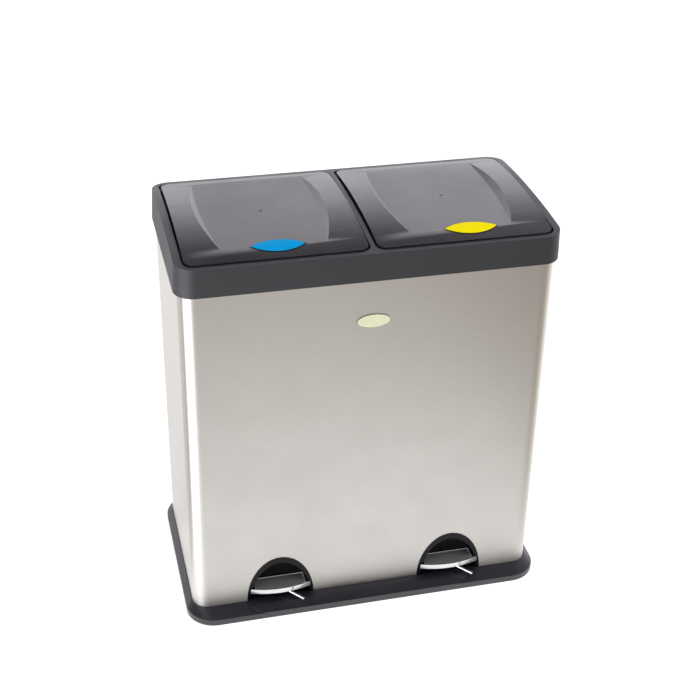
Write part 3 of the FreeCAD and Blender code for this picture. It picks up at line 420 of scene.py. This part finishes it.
def shade(piece: bpy.types.Object, degrees: float = 32.0) -> None:
    """Shade smooth over edges flatter than an angle.

    Args:
        piece: The object to shade.
        degrees: The angle.
    """
    select_only(piece)
    bpy.ops.object.shade_smooth_by_angle(angle=math.radians(degrees))


def dress(piece: bpy.types.Object, finish: Finish) -> None:
    """Give every material slot of an object the finish's material.

    Args:
        piece: The object to dress.
        finish: What it is dressed in.
    """
    material = finish.material()
    if not piece.material_slots:
        piece.data.materials.append(material)
    for slot in piece.material_slots:
        slot.material = material


@dataclass(frozen=True)
class SoftEdges:
    """How a moulded or pressed piece's edges are rounded.

    Attributes:
        width: Width of the rounding, in millimetres.
        segments: Faces across the rounding.
        angle: Edges sharper than this many degrees are rounded.
    """

    width: float
    segments: int = 3
    angle: float = 40.0


class NodePiece:
    """A visible piece that stands for one CAD node: its merged copy with rounded edges."""

    def __init__(self, node: str, body: str, slot: str, finish: Finish) -> None:
        """Hold the node's name and what it is dressed in.

        Args:
            node: The CAD node that the piece stands for.
            body: The moving body that it rides on.
            slot: A material slot's name; not used.
            finish: Its finish.
        """
        self.node = node
        self.body = body
        self.slot = slot
        self.finish = finish

    def build(self, edges: SoftEdges, flat_degrees: float = 0.6) -> bpy.types.Object:
        """Copy the node, merge its loose triangles, round its edges and dress it.

        Args:
            edges: The rounding.
            flat_degrees: Neighbouring triangles nearer to flat than this become one face.

        Returns:
            The finished piece.
        """
        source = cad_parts[self.node]
        piece = bpy.data.objects.new(f"{self.node}_finished", source.data.copy())
        bpy.context.scene.collection.objects.link(piece)
        select_only(piece)
        bpy.ops.object.mode_set(mode="EDIT")
        bpy.ops.mesh.select_all(action="SELECT")
        bpy.ops.mesh.remove_doubles(threshold=MERGE_DISTANCE)
        bpy.ops.mesh.dissolve_limited(angle_limit=math.radians(flat_degrees))
        bpy.ops.object.mode_set(mode="OBJECT")
        piece.data.materials.clear()
        apply_modifier(
            piece, "BEVEL", width=edges.width * MM, segments=edges.segments,
            limit_method="ANGLE", angle_limit=math.radians(edges.angle),
            use_clamp_overlap=True, miter_outer="MITER_SHARP", harden_normals=False,
        )
        shade(piece)
        apply_modifier(
            piece, "WEIGHTED_NORMAL", mode="FACE_AREA", weight=FLAT_FACE_WEIGHT, keep_sharp=True,
        )
        dress(piece, self.finish)
        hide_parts(self.node)
        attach(piece, self.body)
        LOG.info("%s: %d faces", piece.name, len(piece.data.polygons))
        return piece


def add_piece(piece: bpy.types.Object, body: str, finish: Finish) -> None:
    """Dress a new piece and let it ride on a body.

    Args:
        piece: The finished object.
        body: The moving body.
        finish: Its finish.
    """
    settle(piece)
    dress(piece, finish)
    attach(piece, body)
    LOG.info("%s: %d faces", piece.name, len(piece.data.polygons))


def oval(name: str, middle: Vector, size: Vector) -> bpy.types.Object:
    """An upright oval plate that faces the front.

    Args:
        name: The piece's name.
        middle: Its centre, in metres.
        size: Its width, depth and height, in metres.

    Returns:
        The new plate.
    """
    select_only()
    bpy.ops.mesh.primitive_cylinder_add(
        vertices=OVAL_SIDES, radius=0.5, depth=1.0, location=middle,
        rotation=(math.pi / 2, 0.0, 0.0),
    )
    plate = new_piece(name)
    plate.scale = (size.x, size.z, size.y)
    settle(plate)
    return plate


def step_front(plate: bpy.types.Object, steps: tuple[tuple[float, float], ...]) -> None:
    """Inset a plate's front face and move what is left out or in, once for each step.

    Args:
        plate: The plate, which faces the front.
        steps: For each step the inset's width, and how far it then comes forward, in metres.
    """
    select_only(plate)
    front = min(face.center.y for face in plate.data.polygons)
    for face in plate.data.polygons:
        face.select = face.normal.y < FRONT_NORMAL_Y and face.center.y < front + LEVEL_SLACK
    bpy.ops.object.mode_set(mode="EDIT")
    bpy.ops.mesh.select_mode(type="FACE")
    for width, forward in steps:
        bpy.ops.mesh.inset(thickness=width, depth=forward)
    bpy.ops.object.mode_set(mode="OBJECT")


# Sub-assemblies ------------------------------------------------------------------------------


@dataclass
class Carcass:
    """The fixed outside: steel body, plinth, frame, pedal surrounds and badge.

    Attributes:
        body: The body of the frame that it rides on.
        frame_edges: Rounding of the top frame.
        plinth_edges: Rounding of the plinth.
        bezel_edges: Rounding of the pedal surrounds.
        steel_edges: Rounding of the sheet's cut edges.
        badge_rim_width: Width of the badge's rim, in metres.
        badge_rim_depth: How deep the badge lies in its rim, in metres.
        badge_face_thick: Thickness of the badge's face, in metres.
        badge_face_lift: How far the face's middle stands before the rim's floor, as a share of
            the face's thickness.
        badge_dome: Inset and height of each step of the domed face, in metres.
    """

    body: str = "carcass"
    frame_edges: SoftEdges = SoftEdges(1.2, 4)
    plinth_edges: SoftEdges = SoftEdges(1.6, 4, 25.0)
    bezel_edges: SoftEdges = SoftEdges(0.9, 3)
    steel_edges: SoftEdges = SoftEdges(0.2, 2)

    badge_rim_width: float = 1.3 * MM
    badge_rim_depth: float = 0.7 * MM
    badge_face_thick: float = 0.5 * MM
    badge_face_lift: float = 0.4
    badge_dome: tuple[tuple[float, float], ...] = ((0.8 * MM, 0.14 * MM), (2.5 * MM, 0.10 * MM))

    def _badge(self) -> None:
        """Build the badge: a bare domed oval in a dark rim, as wide and high as its CAD node."""
        low, high = (Vector(corner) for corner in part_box("front_badge"))
        middle, size = (low + high) / 2, high - low
        rim = oval("front_badge_rim", middle, size)
        step_front(rim, ((self.badge_rim_width, -self.badge_rim_depth),))
        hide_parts("front_badge")
        face_size = size - 2 * Vector((self.badge_rim_width, 0.0, self.badge_rim_width))
        face_size.y = self.badge_face_thick
        middle.y = low.y + self.badge_rim_depth - self.badge_face_lift * self.badge_face_thick
        face = oval("front_badge_face", middle, face_size)
        step_front(face, self.badge_dome)
        for piece, finish in ((rim, BADGE_RIM), (face, BADGE_FACE)):
            shade(piece)
            add_piece(piece, self.body, finish)

    def build(self) -> None:
        """Build every outside piece of the carcass."""
        self._badge()
        pieces = [
            ("steel_body", "brushed_steel", BRUSHED_STEEL, self.steel_edges),
            ("base_plinth", "black_plastic", PLINTH_PLASTIC, self.plinth_edges),
            ("top_frame", "frame_plastic", FRAME_PLASTIC, self.frame_edges),
        ]
        for side in SIDES:
            pieces.append(
                (f"{side}_pedal_bezel", "bezel_plastic", BEZEL_PLASTIC, self.bezel_edges)
            )
        for node, slot, finish, edges in pieces:
            NodePiece(node, self.body, slot, finish).build(edges)


@dataclass
class Lid:
    """One lid with its label.

    Attributes:
        side: left or right.
        label: The label's finish.
        shadow_sheet_border: How far the near-black sheet under the label shows round it, in
            metres: a painted shadow for the shade in the gap between label and lid.
        shadow_sheet_tip: How many times wider that painted shadow shows at the label's pointed
            ends.
        shadow_sheet_drop: How far the painted-shadow sheet lies below the label, in metres.
        shell_edges: Rounding of the lid's shell.
        label_edges: Rounding of the label.
    """

    side: str
    label: Finish
    shadow_sheet_border: float = 0.9 * MM
    shadow_sheet_tip: float = 1.6
    shadow_sheet_drop: float = 0.35 * MM
    shell_edges: SoftEdges = SoftEdges(0.9, 3, 22.0)
    label_edges: SoftEdges = SoftEdges(0.3, 2)

    def build(self) -> None:
        """Build the shell, the label and the painted shadow round the label."""
        body = f"{self.side}_lid"
        NodePiece(f"{self.side}_lid_shell", body, "lid_plastic", LID_PLASTIC).build(
            self.shell_edges
        )
        NodePiece(f"{self.side}_lid_label", body, f"{self.side}_label", self.label).build(
            self.label_edges
        )
        self._label_shadow_sheet(body)

    def _label_shadow_sheet(self, body: str) -> None:
        """Build a near-black sheet just under the label and a little wider than it. It shows as a
        thin dark line round the label: a painted shadow for the shade in the gap between label
        and lid.

        Args:
            body: The moving body that it rides on.
        """
        node = f"{self.side}_lid_label"
        low, high = (Vector(corner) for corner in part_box(node))
        middle, size = (low + high) / 2, high - low
        # A copy of the label, grown and lowered, that serves only as painted shadow.
        shadow_sheet = bpy.data.objects.new(f"{node}_seat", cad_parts[node].data.copy())
        bpy.context.scene.collection.objects.link(shadow_sheet)
        shadow_sheet.data.materials.clear()
        select_only(shadow_sheet)
        bpy.ops.object.mode_set(mode="EDIT")
        bpy.ops.mesh.select_all(action="SELECT")
        bpy.ops.mesh.remove_doubles(threshold=MERGE_DISTANCE)
        grow = 2 * self.shadow_sheet_border
        bpy.ops.transform.resize(
            value=(1.0 + self.shadow_sheet_tip * grow / size.x, 1.0 + grow / size.y, 1.0),
            center_override=middle,
        )
        bpy.ops.transform.translate(value=(0.0, 0.0, -self.shadow_sheet_drop))
        bpy.ops.object.mode_set(mode="OBJECT")
        # The painted shadow wears the near-black bezel plastic.
        add_piece(shadow_sheet, body, BEZEL_PLASTIC)


@dataclass
class Pedal:
    """One chromed tread and its swivelling wire.

    Attributes:
        side: left or right.
        tread_edges: Rounding of the tread.
        wire_edges: Rounding of the wire, which is round already.
    """

    side: str
    tread_edges: SoftEdges = SoftEdges(0.7, 4)
    wire_edges: SoftEdges = SoftEdges(0.05, 1, 60.0)

    def build(self) -> None:
        """Build the tread and smooth the wire."""
        NodePiece(
            f"{self.side}_pedal_plate", f"{self.side}_pedal", "pedal_chrome", TREAD_CHROME
        ).build(self.tread_edges)
        NodePiece(
            f"{self.side}_hold_open_wire", f"{self.side}_wire", "pedal_chrome", CHROME
        ).build(self.wire_edges)


NODE_FINISHES = {
    "rubber_feet": RUBBER,
    "bucket_deck": INNER_PLASTIC,
    "front_badge": BADGE_FACE,
    "left_hinge_pin": PLAIN_STEEL,
    "right_hinge_pin": PLAIN_STEEL,
    "centre_hinge_pin": PLAIN_STEEL,
    "guide_screws": PLAIN_STEEL,
    "bracket_screws": PLAIN_STEEL,
}
SIDE_NODE_FINISHES = {
    "rod_guides": INNER_PLASTIC,
    "pedal_bracket": PLAIN_STEEL,
    "pivot_pin": PLAIN_STEEL,
    "lid_striker": INNER_PLASTIC,
    "lid_bumpers": RUBBER,
    "push_rod": PLAIN_STEEL,
    "rod_head": INNER_PLASTIC,
    "rod_foot": INNER_PLASTIC,
    "pedal_lever": PLAIN_STEEL,
    "bucket": BUCKET_PLASTIC,
    "bail": PLAIN_STEEL,
    "bail_grip": INNER_PLASTIC,
}


def dress_nodes() -> None:
    """Give the CAD nodes that stay visible their finishes."""
    finishes = dict(NODE_FINISHES)
    for side in SIDES:
        finishes.update({f"{side}_{name}": finish for name, finish in SIDE_NODE_FINISHES.items()})
    for name, finish in finishes.items():
        dress(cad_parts[name], finish)
        LOG.info("%s: %s", name, finish.name)


# Studio --------------------------------------------------------------------------------------


@dataclass(frozen=True)
class Surroundings:
    """What shiny surfaces mirror: bright walls at the sides, a duller room in front.

    Attributes:
        by_azimuth: Degrees to the right of the front, and the colour seen there.
        by_height: Sine of the elevation, and what the colour behind is multiplied by.
        near_colour: What the floor near the object looks like.
        near_middle: Middle of the white patch of floor, in metres.
        near: Distance from that middle up to which the floor is white, in metres.
        far: Distance from it beyond which the floor is as dull as the room, in metres.
    """

    by_azimuth: tuple[tuple[float, tuple[float, float, float]], ...] = (
        (-180.0, (0.90, 0.89, 0.87)),
        (-128.0, (0.86, 0.84, 0.81)),
        (-112.0, (0.62, 0.58, 0.54)),
        (-104.0, (0.95, 0.93, 0.90)),
        (-97.0, (0.55, 0.51, 0.46)),
        (-86.0, (0.62, 0.58, 0.54)),
        (-76.0, (2.2, 2.2, 2.2)),
        (-44.0, (2.2, 2.2, 2.2)),
        (-28.0, (0.60, 0.56, 0.52)),
        (-5.0, (0.40, 0.36, 0.32)),
        (30.0, (0.33, 0.29, 0.25)),
        (62.0, (0.46, 0.41, 0.34)),
        (80.0, (0.80, 0.77, 0.66)),
        (110.0, (1.3, 1.3, 1.3)),
        (180.0, (0.90, 0.89, 0.87)),
    )
    by_height: tuple[tuple[float, tuple[float, float, float]], ...] = (
        (0.05, (1.7, 1.68, 1.80)),
        (0.38, (2.6, 2.55, 2.76)),
        (0.50, (1.7, 1.66, 1.80)),
        (0.60, (0.35, 0.34, 0.37)),
        (0.68, (0.03, 0.03, 0.04)),
    )
    near_colour: tuple[float, float, float] = (1.20, 1.19, 1.17)
    near_middle: tuple[float, float, float] = (0.0, -0.35, 0.0)
    near: float = 0.26
    far: float = 0.84

    def _azimuth_colour(
        self, tree: bpy.types.NodeTree, vector: bpy.types.NodeSocket
    ) -> bpy.types.NodeSocket:
        """Colour by direction round the object, with the front in the middle of the ramp.

        Args:
            tree: The node tree of the floor or the world.
            vector: A direction, or a place on the floor.

        Returns:
            The colour's socket.
        """
        split = tree.nodes.new("ShaderNodeSeparateXYZ")
        tree.links.new(vector, split.inputs[0])
        front = self._math(tree, "MULTIPLY", split.outputs["Y"], -1.0)
        angle = self._math(tree, "ARCTAN2", split.outputs["X"], front)
        degrees = self._math(tree, "MULTIPLY", angle, 180.0 / math.pi)
        share = self._math(tree, "MULTIPLY_ADD", degrees, 1.0 / FULL_TURN)
        share.node.inputs[2].default_value = 0.5
        stops = [(azimuth / FULL_TURN + 0.5, colour) for azimuth, colour in self.by_azimuth]
        return self._ramp(tree, share, stops)

    @staticmethod
    def _ramp(
        tree: bpy.types.NodeTree,
        share: bpy.types.NodeSocket,
        stops: Iterable[tuple[float, tuple[float, float, float]]],
    ) -> bpy.types.NodeSocket:
        """Add a colour ramp.

        Args:
            tree: The node tree.
            share: The value that runs along the ramp, from 0 to 1.
            stops: Each stop's place on the ramp and its colour.

        Returns:
            The colour's socket.
        """
        ramp = tree.nodes.new("ShaderNodeValToRGB")
        elements = ramp.color_ramp.elements
        stops = list(stops)
        while len(elements) < len(stops):
            elements.new(0.5)
        for element, (position, colour) in zip(elements, stops):
            element.position = position
            element.color = (*colour, 1.0)
        tree.links.new(share, ramp.inputs["Fac"])
        return ramp.outputs["Color"]

    def floor_colour(
        self, tree: bpy.types.NodeTree, place: bpy.types.NodeSocket
    ) -> bpy.types.NodeSocket:
        """What the floor looks like in a shiny surface: white near the object.

        Args:
            tree: The floor material's nodes.
            place: The place on the floor.

        Returns:
            The colour's socket.
        """
        colour = self._azimuth_colour(tree, place)
        length = tree.nodes.new("ShaderNodeVectorMath")
        length.operation = "DISTANCE"
        length.inputs[1].default_value = self.near_middle
        tree.links.new(place, length.inputs[0])
        share = tree.nodes.new("ShaderNodeMapRange")
        share.interpolation_type = "SMOOTHSTEP"
        share.inputs["From Min"].default_value = self.near
        share.inputs["From Max"].default_value = self.far
        tree.links.new(length.outputs["Value"], share.inputs["Value"])
        mix = tree.nodes.new("ShaderNodeMix")
        mix.data_type = "RGBA"
        mix.inputs["A"].default_value = (*self.near_colour, 1.0)
        tree.links.new(share.outputs["Result"], mix.inputs["Factor"])
        tree.links.new(colour, mix.inputs["B"])
        return mix.outputs["Result"]

    def room_colour(
        self, tree: bpy.types.NodeTree, direction: bpy.types.NodeSocket
    ) -> bpy.types.NodeSocket:
        """What the room looks like in a shiny surface: bright low down, dim overhead.

        Args:
            tree: The world's nodes.
            direction: The direction looked in.

        Returns:
            The colour's socket.
        """
        colour = self._azimuth_colour(tree, direction)
        split = tree.nodes.new("ShaderNodeSeparateXYZ")
        tree.links.new(direction, split.inputs[0])
        level = self._ramp(tree, split.outputs["Z"], self.by_height)
        mix = tree.nodes.new("ShaderNodeMix")
        mix.data_type = "RGBA"
        mix.blend_type = "MULTIPLY"
        mix.inputs["Factor"].default_value = 1.0
        tree.links.new(colour, mix.inputs["A"])
        tree.links.new(level, mix.inputs["B"])
        return mix.outputs["Result"]

    @staticmethod
    def _math(
        tree: bpy.types.NodeTree, operation: str, first: bpy.types.NodeSocket, second: object
    ) -> bpy.types.NodeSocket:
        """Add a Math node.

        Args:
            tree: The node tree.
            operation: The node's operation.
            first: Socket of the first value.
            second: Socket or number of the second value.

        Returns:
            The result's socket.
        """
        node = tree.nodes.new("ShaderNodeMath")
        node.operation = operation
        tree.links.new(first, node.inputs[0])
        if isinstance(second, float):
            node.inputs[1].default_value = second
        else:
            tree.links.new(second, node.inputs[1])
        return node.outputs[0]


@dataclass(frozen=True)
class Lamp:
    """One square soft lamp.

    Attributes:
        name: The lamp's name.
        place: Where it hangs, in metres.
        target: The point it faces, in metres.
        power: Its power in watts.
        size: Its side in metres.
    """

    name: str
    place: tuple[float, float, float]
    target: tuple[float, float, float]
    power: float
    size: float = 1.6

    def build(self) -> None:
        """Hang the lamp and turn it to its target, unseen by the camera and in reflections."""
        data = bpy.data.lights.new(self.name, "AREA")
        data.size = self.size
        data.energy = self.power
        lamp = bpy.data.objects.new(self.name, data)
        lamp.location = self.place
        aim = Vector(self.target) - Vector(self.place)
        lamp.rotation_euler = aim.to_track_quat("-Z", "Y").to_euler()
        lamp.visible_camera = False
        lamp.visible_glossy = False
        bpy.context.scene.collection.objects.link(lamp)


LAMPS = (
    Lamp("key", (1.7, -1.3, 1.9), (0.0, 0.0, 0.35), 26.0),
    Lamp("fill", (-2.0, -1.0, 1.3), (0.0, 0.0, 0.3), 16.0),
    Lamp("top", (0.0, 0.3, 2.4), (0.0, 0.0, 0.5), 9.0),
)


@dataclass
class Studio:
    """Camera, pale floor, room and soft lamps.

    Attributes:
        camera_place: Where the camera stands, in metres.
        yaw: Camera's turn to the right of +Y, in radians.
        pitch: Camera's tilt below the horizon, in radians.
        roll: Camera's roll, in radians.
        focal_pixels: Focal length in pixels of the picture.
        picture_width: Width of the picture in pixels.
        sensor_width: Width of the camera's sensor in millimetres.
        floor_size: Side of the floor, in metres.
        floor_colour: The floor's colour where light falls on it, linear RGB.
        floor_roughness: Its roughness.
        floor_specular: Specular level of its Principled shader.
        floor_glow: What is added to the floor as the camera sees it.
        room_light: How bright the room lights the object from all round.
        surroundings: What shiny surfaces mirror.
    """

    camera_place: tuple[float, float, float] = (-0.4564, -1.7694, 1.4802)
    yaw: float = 0.25294
    pitch: float = 0.5405
    roll: float = 0.02214
    focal_pixels: float = 1338.31
    picture_width: float = 700.0
    sensor_width: float = 36.0
    floor_size: float = 14.0
    floor_colour: tuple[float, float, float] = (0.86, 0.86, 0.86)
    floor_roughness: float = 0.9
    floor_specular: float = 0.1
    floor_glow: float = 0.68
    room_light: float = 0.42
    surroundings: Surroundings = Surroundings()

    def build(self) -> None:
        """Build the camera, the floor, the world and the lamps."""
        self._camera()
        self._floor()
        self._world()
        for lamp in LAMPS:
            lamp.build()

    def _camera(self) -> None:
        """Place the camera where the photograph was taken from."""
        level = math.cos(self.pitch)
        forward = Vector(
            (math.sin(self.yaw) * level, math.cos(self.yaw) * level, -math.sin(self.pitch))
        )
        right = Vector((math.cos(self.yaw), -math.sin(self.yaw), 0.0))
        up = right.cross(forward)
        across = math.cos(self.roll) * right + math.sin(self.roll) * up
        upright = -math.sin(self.roll) * right + math.cos(self.roll) * up
        data = bpy.data.cameras.new("camera")
        data.sensor_width = self.sensor_width
        data.lens = self.focal_pixels / self.picture_width * self.sensor_width
        camera = bpy.data.objects.new("camera", data)
        turn = Matrix((across, upright, -forward)).transposed()
        camera.matrix_world = Matrix.Translation(self.camera_place) @ turn.to_4x4()
        bpy.context.scene.collection.objects.link(camera)
        bpy.context.scene.camera = camera

    def _floor(self) -> None:
        """Add the pale floor: white to the camera but for the object's shadow."""
        select_only()
        bpy.ops.mesh.primitive_plane_add(size=self.floor_size, location=(0.0, 0.0, 0.0))
        floor = new_piece("studio_floor")
        material = bpy.data.materials.new("studio floor")
        material.use_nodes = True
        tree = material.node_tree
        nodes, links = tree.nodes, tree.links
        shader = nodes["Principled BSDF"]
        shader.inputs["Base Color"].default_value = (*self.floor_colour, 1.0)
        shader.inputs["Roughness"].default_value = self.floor_roughness
        shader.inputs["Specular IOR Level"].default_value = self.floor_specular
        rays = nodes.new("ShaderNodeLightPath")
        glow = nodes.new("ShaderNodeEmission")
        glow.inputs["Strength"].default_value = self.floor_glow
        seen = nodes.new("ShaderNodeAddShader")
        to_camera = nodes.new("ShaderNodeMixShader")
        mirrored = nodes.new("ShaderNodeEmission")
        to_metal = nodes.new("ShaderNodeMixShader")
        place = nodes.new("ShaderNodeTexCoord").outputs["Object"]
        links.new(self.surroundings.floor_colour(tree, place), mirrored.inputs["Color"])
        links.new(shader.outputs["BSDF"], seen.inputs[0])
        links.new(glow.outputs["Emission"], seen.inputs[1])
        links.new(rays.outputs["Is Camera Ray"], to_camera.inputs["Fac"])
        links.new(shader.outputs["BSDF"], to_camera.inputs[1])
        links.new(seen.outputs["Shader"], to_camera.inputs[2])
        links.new(rays.outputs["Is Glossy Ray"], to_metal.inputs["Fac"])
        links.new(to_camera.outputs["Shader"], to_metal.inputs[1])
        links.new(mirrored.outputs["Emission"], to_metal.inputs[2])
        links.new(to_metal.outputs["Shader"], nodes["Material Output"].inputs["Surface"])
        floor.data.materials.append(material)

    def _world(self) -> None:
        """A soft grey room, white past the floor, and the room that polished metal mirrors."""
        world = bpy.data.worlds.new("studio")
        bpy.context.scene.world = world
        world.use_nodes = True
        tree = world.node_tree
        nodes, links = tree.nodes, tree.links
        plain = nodes["Background"]
        rays = nodes.new("ShaderNodeLightPath")
        level = nodes.new("ShaderNodeMapRange")
        level.inputs["To Min"].default_value = self.room_light
        level.inputs["To Max"].default_value = 1.0
        links.new(rays.outputs["Is Camera Ray"], level.inputs["Value"])
        links.new(level.outputs["Result"], plain.inputs["Strength"])
        plain.inputs["Color"].default_value = (1.0, 1.0, 1.0, 1.0)
        mirrored = nodes.new("ShaderNodeBackground")
        direction = nodes.new("ShaderNodeTexCoord").outputs["Generated"]
        links.new(self.surroundings.room_colour(tree, direction), mirrored.inputs["Color"])
        mix = nodes.new("ShaderNodeMixShader")
        links.new(rays.outputs["Is Glossy Ray"], mix.inputs["Fac"])
        links.new(plain.outputs["Background"], mix.inputs[1])
        links.new(mirrored.outputs["Background"], mix.inputs[2])
        links.new(mix.outputs["Shader"], nodes["World Output"].inputs["Surface"])


def main() -> None:
    """Build the studio and every visible piece, and log each."""
    logging.basicConfig(level=logging.INFO, format="%(message)s")
    bpy.context.scene.view_settings.view_transform = "Standard"
    Studio().build()
    dress_nodes()
    Carcass().build()
    for side, label in zip(SIDES, (BLUE_LABEL, YELLOW_LABEL)):
        Lid(side, label).build()
        Pedal(side).build()


if __name__ == "__main__":
    main()
